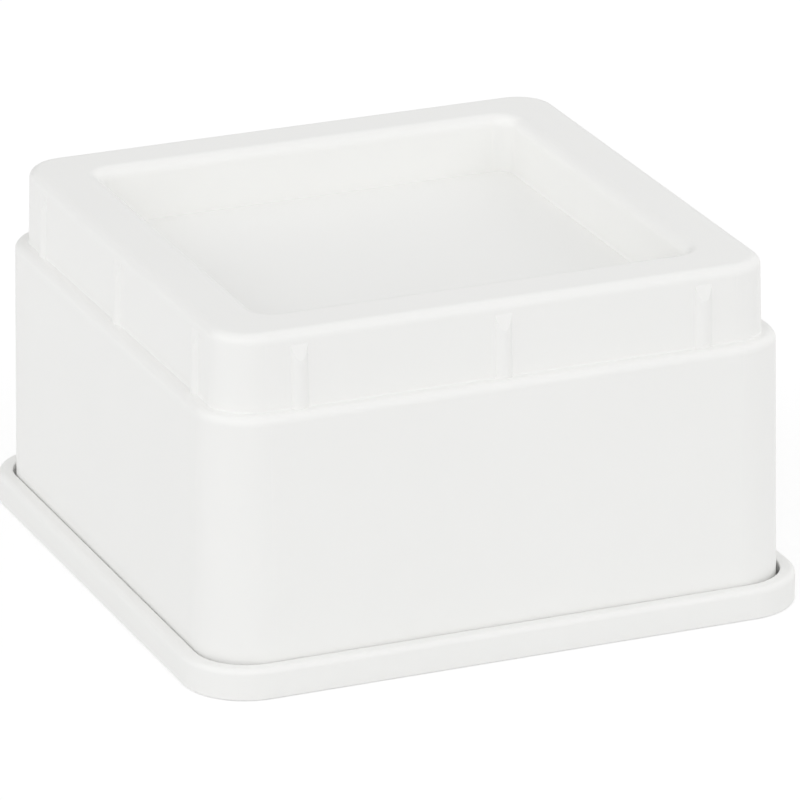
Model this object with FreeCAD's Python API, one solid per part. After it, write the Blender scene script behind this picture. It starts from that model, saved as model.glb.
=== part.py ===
"""Stacking bed riser: a hollow moulded block with a recess on top, standing loose in a shallow base tray.

Millimetres, +Z up, origin on the ground under the middle of the tray.
"""
import math
import os

import FreeCAD, Part
from FreeCAD import Vector

# Base tray: a square dish with an upstanding lip
TRAY_WIDTH = 162.0
TRAY_CORNER_RADIUS = 16.5
TRAY_HEIGHT = 8.0
TRAY_FLOOR = 3.0
TRAY_BOTTOM_CHAMFER = 0.3
LIP_THICKNESS = 3.6
LIP_OUTER_ROUND = 1.5
LIP_INNER_ROUND = 0.3
SEAT_CLEARANCE = 0.3
SEAT_CORNER_RELIEF = 1.5

# Block body: a drafted square shell, open underneath
BODY_HEIGHT = 67.5
BODY_CORNER_RADIUS = 15.0
BODY_DRAFT_ANGLE = 0.9
WALL = 3.0
LEDGE_ROUND = 2.2

# Neck: the step on top, which fits inside the foot of a second block
NECK_HEIGHT = 19.5
NECK_CORNER_RADIUS = 10.8
NECK_DRAFT_ANGLE = 1.5
NECK_FOOT_ROUND = 0.4
RIM_OUTER_ROUND = 2.6
RIM_INNER_ROUND = 3.0
STACK_CLEARANCE = 0.5

# Fitting ribs on the neck, which take up the play of a stacked block
FITTING_RIBS_PER_SIDE = 3
FITTING_RIB_PITCH = 53.0
FITTING_RIB_WIDTH = 4.5
FITTING_RIB_PROUD = 1.0
FITTING_RIB_LEAD = 4.0
FITTING_RIB_SETBACK = 0.8

# Recess for the furniture foot
RECESS_WIDTH = 114.0
RECESS_DEPTH = 15.0
RECESS_CORNER_RADIUS = 4.5
RECESS_DRAFT_ANGLE = 1.0

# Cross of stiffening ribs under the recess
STIFFENER_THICKNESS = 3.0


def draft_inset(height, angle):
    """How far a wall with mould draft leans in over a height."""
    return height * math.tan(math.radians(angle))


# Heights and widths that follow from the values above
BLOCK_BOTTOM = TRAY_FLOOR
LEDGE_Z = BLOCK_BOTTOM + BODY_HEIGHT
RIM_Z = LEDGE_Z + NECK_HEIGHT
RECESS_FLOOR_Z = RIM_Z - RECESS_DEPTH
SOCKET_ROOF_Z = BLOCK_BOTTOM + NECK_HEIGHT + STACK_CLEARANCE
SEAT_WIDTH = TRAY_WIDTH - 2 * LIP_THICKNESS
BODY_WIDTH = SEAT_WIDTH - 2 * SEAT_CLEARANCE
CAVITY_WIDTH = BODY_WIDTH - 2 * WALL
NECK_WIDTH = CAVITY_WIDTH - 2 * (STACK_CLEARANCE + FITTING_RIB_PROUD)
LEDGE_OUTER_WIDTH = BODY_WIDTH - 2 * draft_inset(BODY_HEIGHT, BODY_DRAFT_ANGLE)
LEDGE = (LEDGE_OUTER_WIDTH - NECK_WIDTH) / 2
RIM_OUTER_WIDTH = NECK_WIDTH - 2 * draft_inset(NECK_HEIGHT, NECK_DRAFT_ANGLE)
RIM = (RIM_OUTER_WIDTH - RECESS_WIDTH) / 2

SIDES = 4
LEVEL_TOLERANCE = 1e-3


def turned(shape, side):
    """Copy of a shape, turned from the front to another side of the square."""
    copy = shape.copy()
    copy.rotate(Vector(0, 0, 0), Vector(0, 0, 1), 360 / SIDES * side)
    return copy


def drafted_block(width, radius, z, height, angle=0.0):
    """Upright square block that leans in towards its top, or out where the angle is negative.

    Two crossed slabs give the flat walls, and a tapered post at each corner rounds them off.
    """
    inset = draft_inset(height, angle)
    half = width / 2
    straight = half - radius
    outline = [
        Vector(-half, -straight, z),
        Vector(half, -straight, z),
        Vector(half - inset, -straight, z + height),
        Vector(inset - half, -straight, z + height),
    ]
    slab = Part.Face(Part.makePolygon(outline + outline[:1])).extrude(Vector(0, 2 * straight, 0))
    corner = Vector(straight, straight, z)
    if angle:
        post = Part.makeCone(radius, radius - inset, height, corner)
    else:
        post = Part.makeCylinder(radius, height, corner)
    posts = [turned(post, side) for side in range(SIDES)]
    return slab.fuse([turned(slab, 1)] + posts).removeSplitter()


def outline_sides(shape, width, z):
    """Straight edges of a level square outline; a round on them runs on through its corners."""
    found = []
    for edge in shape.Edges:
        middle = edge.valueAt((edge.FirstParameter + edge.LastParameter) / 2)
        reach = max(abs(middle.x), abs(middle.y))
        level = edge.BoundBox.ZLength < LEVEL_TOLERANCE and abs(middle.z - z) < LEVEL_TOLERANCE
        if level and abs(reach - width / 2) < LEVEL_TOLERANCE:
            found.append(edge)
    return found


def base_tray():
    """Dish that spreads the load on the floor, with a lip that keeps the block from sliding off."""
    dish = drafted_block(TRAY_WIDTH, TRAY_CORNER_RADIUS, 0, TRAY_HEIGHT)
    seat = drafted_block(SEAT_WIDTH, BODY_CORNER_RADIUS - SEAT_CORNER_RELIEF, TRAY_FLOOR, TRAY_HEIGHT)
    tray = dish.cut(seat)
    outer_round = min(LIP_OUTER_ROUND, LIP_THICKNESS / 2)
    inner_round = min(LIP_INNER_ROUND, LIP_THICKNESS / 4)
    tray = tray.makeFillet(outer_round, outline_sides(tray, TRAY_WIDTH, TRAY_HEIGHT))
    tray = tray.makeFillet(inner_round, outline_sides(tray, SEAT_WIDTH, TRAY_HEIGHT))
    return tray.makeChamfer(TRAY_BOTTOM_CHAMFER, outline_sides(tray, TRAY_WIDTH, 0))


def block_outside():
    """Body and neck as one solid form, with the rounds of the ledge and of the rim's outer edge."""
    body = drafted_block(BODY_WIDTH, BODY_CORNER_RADIUS, BLOCK_BOTTOM, BODY_HEIGHT, BODY_DRAFT_ANGLE)
    neck = drafted_block(NECK_WIDTH, NECK_CORNER_RADIUS, LEDGE_Z, NECK_HEIGHT, NECK_DRAFT_ANGLE)
    form = body.fuse(neck)
    form = form.makeFillet(min(LEDGE_ROUND, 0.75 * LEDGE), outline_sides(form, LEDGE_OUTER_WIDTH, LEDGE_Z))
    form = form.makeFillet(min(NECK_FOOT_ROUND, 0.2 * LEDGE), outline_sides(form, NECK_WIDTH, LEDGE_Z))
    return form.makeFillet(min(RIM_OUTER_ROUND, 0.5 * RIM), outline_sides(form, RIM_OUTER_WIDTH, RIM_Z))


def recess_form(growth):
    """Space of the recess, or with a growth the outside of the tub around it."""
    floor_width = RECESS_WIDTH - 2 * draft_inset(RECESS_DEPTH, RECESS_DRAFT_ANGLE)
    floor_radius = RECESS_CORNER_RADIUS + growth
    return drafted_block(
        floor_width + 2 * growth,
        floor_radius,
        RECESS_FLOOR_Z - growth,
        RECESS_DEPTH + growth,
        -RECESS_DRAFT_ANGLE,
    )


def fitting_rib():
    """Half-round bead on the front of the neck, rooted in the wall, with a slope at its top to lead in."""
    half = FITTING_RIB_WIDTH / 2
    radius = (half**2 + FITTING_RIB_PROUD**2) / (2 * FITTING_RIB_PROUD)
    depth = radius - FITTING_RIB_PROUD
    root = WALL / 2
    top = NECK_HEIGHT - RIM_OUTER_ROUND - FITTING_RIB_SETBACK
    side_view = [
        Vector(-radius, root, -root),
        Vector(-radius, -2 * FITTING_RIB_PROUD, -root),
        Vector(-radius, -2 * FITTING_RIB_PROUD, top - 2 * FITTING_RIB_LEAD),
        Vector(-radius, 0, top),
        Vector(-radius, root, top),
    ]
    sloped = Part.Face(Part.makePolygon(side_view + side_view[:1])).extrude(Vector(2 * radius, 0, 0))
    rib = Part.makeCylinder(radius, root + top, Vector(0, depth, -root)).common(sloped)
    rib.rotate(Vector(0, 0, 0), Vector(1, 0, 0), -NECK_DRAFT_ANGLE)
    rib.translate(Vector(0, -NECK_WIDTH / 2, LEDGE_Z))
    return rib


def fitting_ribs():
    """The row of beads on each side of the neck."""
    ribs = []
    for index in range(FITTING_RIBS_PER_SIDE):
        rib = fitting_rib()
        rib.translate(Vector((index - (FITTING_RIBS_PER_SIDE - 1) / 2) * FITTING_RIB_PITCH, 0, 0))
        ribs += [turned(rib, side) for side in range(SIDES)]
    return ribs


def stiffener(side):
    """Upright rib from wall to wall, clear of the neck of a block stacked below."""
    height = RIM_Z - SOCKET_ROOF_Z
    plate = Part.makeBox(BODY_WIDTH, STIFFENER_THICKNESS, height)
    plate.translate(Vector(-BODY_WIDTH / 2, -STIFFENER_THICKNESS / 2, SOCKET_ROOF_Z))
    return turned(plate, side)


def block_cavity():
    """Hollow of the block, open at the bottom: the outside less one wall, the tub and the stiffeners."""
    body = drafted_block(
        CAVITY_WIDTH, BODY_CORNER_RADIUS - WALL, BLOCK_BOTTOM, BODY_HEIGHT - WALL, BODY_DRAFT_ANGLE
    )
    neck = drafted_block(
        NECK_WIDTH - 2 * WALL, NECK_CORNER_RADIUS - WALL, LEDGE_Z - WALL, NECK_HEIGHT, NECK_DRAFT_ANGLE
    )
    return body.fuse(neck).cut([recess_form(WALL), stiffener(0), stiffener(1)])


def riser_block():
    """The whole moulding: outside form, recess, fitting ribs and hollow."""
    block = block_outside().cut(recess_form(0))
    block = block.makeFillet(min(RIM_INNER_ROUND, 0.4 * RIM), outline_sides(block, RECESS_WIDTH, RIM_Z))
    return block.fuse(fitting_ribs()).cut(block_cavity())


os.makedirs("parts", exist_ok=True)
for node, shape in (("base_tray", base_tray()), ("riser_block", riser_block())):
    shape.exportStep(f"parts/{node}.step")
    print(f"{node}: {len(shape.Solids)} solid, valid {shape.isValid()}, volume {shape.Volume:.0f}")
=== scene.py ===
import math

import bpy
from mathutils import Matrix, Vector

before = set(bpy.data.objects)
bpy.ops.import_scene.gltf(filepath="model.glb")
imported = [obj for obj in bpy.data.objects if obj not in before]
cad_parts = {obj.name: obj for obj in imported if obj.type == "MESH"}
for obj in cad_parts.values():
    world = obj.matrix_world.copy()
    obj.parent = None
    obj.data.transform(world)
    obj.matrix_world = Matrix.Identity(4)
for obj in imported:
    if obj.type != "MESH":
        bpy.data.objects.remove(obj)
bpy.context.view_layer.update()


# Base tray: the shallow square dish that the riser stands in, with a rounded lip all round.
# It is injection moulded in white plastic from a mould with a fine spark-eroded grain, and it
# lies loose on the floor, flat side down.

class Wire:
    """One socket of a material's node tree; arithmetic on wires adds Math nodes to the tree."""

    def __init__(self, tree, socket=None):
        self.tree = tree
        self.socket = socket

    def node(self, kind, settings=None, inputs=None, output=0):
        """Adds a node, makes its settings, then sets or links its inputs, and returns one output."""
        made = self.tree.nodes.new(kind)
        for name, value in (settings or {}).items():
            setattr(made, name, value)
        for key, value in (inputs or {}).items():
            if isinstance(value, Wire):
                self.tree.links.new(value.socket, made.inputs[key])
            else:
                made.inputs[key].default_value = value
        return Wire(self.tree, made.outputs[output]) if made.outputs else None

    def math(self, operation, first, second):
        return self.node("ShaderNodeMath", {"operation": operation}, {0: first, 1: second})

    def __add__(self, other):
        return self.math("ADD", self, other)

    def __radd__(self, other):
        return self.math("ADD", other, self)

    def __sub__(self, other):
        return self.math("SUBTRACT", self, other)

    def __rsub__(self, other):
        return self.math("SUBTRACT", other, self)

    def __mul__(self, other):
        return self.math("MULTIPLY", self, other)

    def __rmul__(self, other):
        return self.math("MULTIPLY", other, self)


def empty_material(name):
    """A material with no nodes yet, and the wire that adds them."""
    material = bpy.data.materials.new(name)
    material.use_nodes = True
    material.node_tree.nodes.clear()
    return material, Wire(material.node_tree)


PLASTIC_IOR = 1.49
FLOW_SIZE = 0.045
FLOW_DETAIL = 2.0
GLOSS_SIZE = 0.018
GLOSS_DETAIL = 3.0
GLOSS_SWING = 0.10
GRAIN_DETAIL = 2.0
NOISE_MIDDLE = 0.5


def moulded_plastic(name, light_tone, dark_tone, roughness, grain_size, grain_depth):
    """White moulded plastic: a faint flow pattern in the colour, uneven gloss and a fine eroded grain."""
    material, wire = empty_material(name)
    place = wire.node("ShaderNodeTexCoord", output="Object")

    def noise(size, detail):
        sockets = {"Vector": place, "Scale": 1 / size, "Detail": detail}
        return wire.node("ShaderNodeTexNoise", None, sockets)

    flow = noise(FLOW_SIZE, FLOW_DETAIL)
    gloss = noise(GLOSS_SIZE, GLOSS_DETAIL)
    grain = noise(grain_size, GRAIN_DETAIL)
    tone = wire.node(
        "ShaderNodeMix",
        {"data_type": "RGBA"},
        {"Factor": flow, 6: dark_tone, 7: light_tone},
        output=2,
    )
    relief = wire.node(
        "ShaderNodeBump",
        None,
        {"Height": grain, "Distance": grain_depth, "Strength": 1.0},
    )
    uneven_gloss = GLOSS_SWING * (gloss - NOISE_MIDDLE) + GLOSS_SWING * (grain - NOISE_MIDDLE)
    surface = wire.node(
        "ShaderNodeBsdfPrincipled",
        None,
        {
            "Base Color": tone,
            "Roughness": roughness + uneven_gloss,
            "IOR": PLASTIC_IOR,
            "Normal": relief,
        },
    )
    wire.node("ShaderNodeOutputMaterial", None, {"Surface": surface})
    return material


WHITE_LIGHT_TONE = (0.926, 0.926, 0.912, 1.0)
WHITE_DARK_TONE = (0.910, 0.910, 0.896, 1.0)
GRAIN_SIZE = 0.00055

tray_plastic = moulded_plastic(
    "tray_plastic",
    WHITE_LIGHT_TONE,
    WHITE_DARK_TONE,
    roughness=0.46,
    grain_size=GRAIN_SIZE,
    grain_depth=0.000012,
)
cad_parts["base_tray"].material_slots[0].material = tray_plastic


# Riser block: the hollow square moulding that carries the furniture foot in its top recess, with a
# ribbed neck above a ledge so that a second block can be stacked on it. It is one piece of the same
# white plastic as the tray, a little glossier on its larger faces, and only stands in the tray.

block_plastic = moulded_plastic(
    "block_plastic",
    WHITE_LIGHT_TONE,
    WHITE_DARK_TONE,
    roughness=0.42,
    grain_size=GRAIN_SIZE,
    grain_depth=0.000010,
)
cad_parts["riser_block"].material_slots[0].material = block_plastic


# Floor: the white sweep of a product table under the riser, which takes its soft shadow and throws
# light back up on its sides. Seen directly or in a reflection it is plain white. It lies a hair below
# the tray, so that the two faces never coincide.

FLOOR_WIDTH = 24.0
FLOOR_LEVEL = -0.0001
FLOOR_BOUNCE_TONE = (0.80, 0.80, 0.80, 1.0)
FLOOR_SEEN_TONE = (0.44, 0.44, 0.44, 1.0)
FLOOR_SEEN_LIFT = 0.62


def seen_ray(wire):
    """One for what the camera sees straight on, in a reflection or through glass, and nought otherwise."""
    kinds = ("Is Camera Ray", "Is Glossy Ray", "Is Transmission Ray")
    rays = [wire.node("ShaderNodeLightPath", output=kind) for kind in kinds]
    return wire.math("MAXIMUM", wire.math("MAXIMUM", rays[0], rays[1]), rays[2])


bpy.ops.object.select_all(action="DESELECT")
bpy.ops.mesh.primitive_plane_add(size=FLOOR_WIDTH, location=(0, 0, FLOOR_LEVEL))
bpy.ops.object.transform_apply(location=True, rotation=False, scale=False)
floor = bpy.context.object
floor.name = "floor"
floor_white, floor_wire = empty_material("floor_white")
bounced = floor_wire.node("ShaderNodeBsdfDiffuse", None, {"Color": FLOOR_BOUNCE_TONE})
shaded = floor_wire.node("ShaderNodeBsdfDiffuse", None, {"Color": FLOOR_SEEN_TONE})
lift = floor_wire.node("ShaderNodeEmission", None, {"Strength": FLOOR_SEEN_LIFT})
seen = floor_wire.node("ShaderNodeAddShader", None, {0: shaded, 1: lift})
floor_mix = floor_wire.node(
    "ShaderNodeMixShader",
    None,
    {0: seen_ray(floor_wire), 1: bounced, 2: seen},
)
floor_wire.node("ShaderNodeOutputMaterial", None, {"Surface": floor_mix})
floor.data.materials.append(floor_white)


# Light: a white light tent round the table, brightest at half its height in front and on both sides, and
# dimmest behind. Its strength is a sum of shares: a base, a lean along each axis, a band that changes with
# height, panels on both sides and one in front. Below the table it is a plain soft light instead.

TENT_TONE = (1.0, 1.0, 1.0, 1.0)
TENT_BASE = -1.252
TENT_LEAN = (0.059, 1.302, 2.412)
TENT_BAND = (-0.35, -1.137, -0.663)
TENT_PANELS = (2.039, 0.22, 0.0)
TENT_FRONT = 3.105
TENT_BELOW = 0.6

world = bpy.data.worlds.new("light_tent")
world.use_nodes = True
world.node_tree.nodes.clear()
bpy.context.scene.world = world
tent_wire = Wire(world.node_tree)
outward = tent_wire.node("ShaderNodeTexCoord", output="Generated")


def towards(axis):
    """How far the tent's wall lies along an axis, as seen from the table."""
    return tent_wire.node(
        "ShaderNodeVectorMath",
        {"operation": "DOT_PRODUCT"},
        {0: outward, 1: axis},
        output="Value",
    )


side = towards((1.0, 0.0, 0.0))
height = towards((0.0, 0.0, 1.0))
front = tent_wire.math("MAXIMUM", towards((0.0, -1.0, 0.0)), 0.0)
below = towards((0.0, 0.0, -TENT_BELOW))
tent_strength = TENT_BASE + towards(TENT_LEAN) + height * towards(TENT_BAND) + side * towards(TENT_PANELS)
tent_strength = tent_wire.math("MAXIMUM", tent_strength + TENT_FRONT * front * front, below)
tent = tent_wire.node("ShaderNodeBackground", None, {"Color": TENT_TONE, "Strength": tent_strength})
tent_wire.node("ShaderNodeOutputWorld", None, {"Surface": tent})


# Camera: a long lens a little above the table, turned to the front left corner, as in the photograph.
# It aims a little beside the middle of the riser, which gives the photograph's framing.

RISER_CENTRE = Vector((0.0, 0.0, 0.04455))
CAMERA_AZIMUTH = -22.52
CAMERA_ELEVATION = 20.73
CAMERA_ROLL = -0.192
CAMERA_DISTANCE = 1.8653
CAMERA_LENS = 334.05
CAMERA_SENSOR = 36.0
CAMERA_REACH = 100.0
AIM_RIGHT = 0.00266
AIM_UP = -0.00488

turn = math.radians(CAMERA_AZIMUTH)
rise = math.radians(CAMERA_ELEVATION)
back = Vector((math.sin(turn) * math.cos(rise), -math.cos(turn) * math.cos(rise), math.sin(rise)))
right = Vector((0, 0, 1)).cross(back).normalized()
up = back.cross(right)
aim = RISER_CENTRE + AIM_RIGHT * right + AIM_UP * up
bpy.ops.object.camera_add(location=aim + back * CAMERA_DISTANCE)
camera = bpy.context.object
upright = Matrix((right, up, back)).transposed()
camera.rotation_euler = (upright @ Matrix.Rotation(math.radians(CAMERA_ROLL), 3, "Z")).to_euler()
camera.data.lens = CAMERA_LENS
camera.data.sensor_width = CAMERA_SENSOR
camera.data.clip_end = CAMERA_REACH
bpy.context.scene.camera = camera
bpy.context.scene.view_settings.view_transform = "Standard"
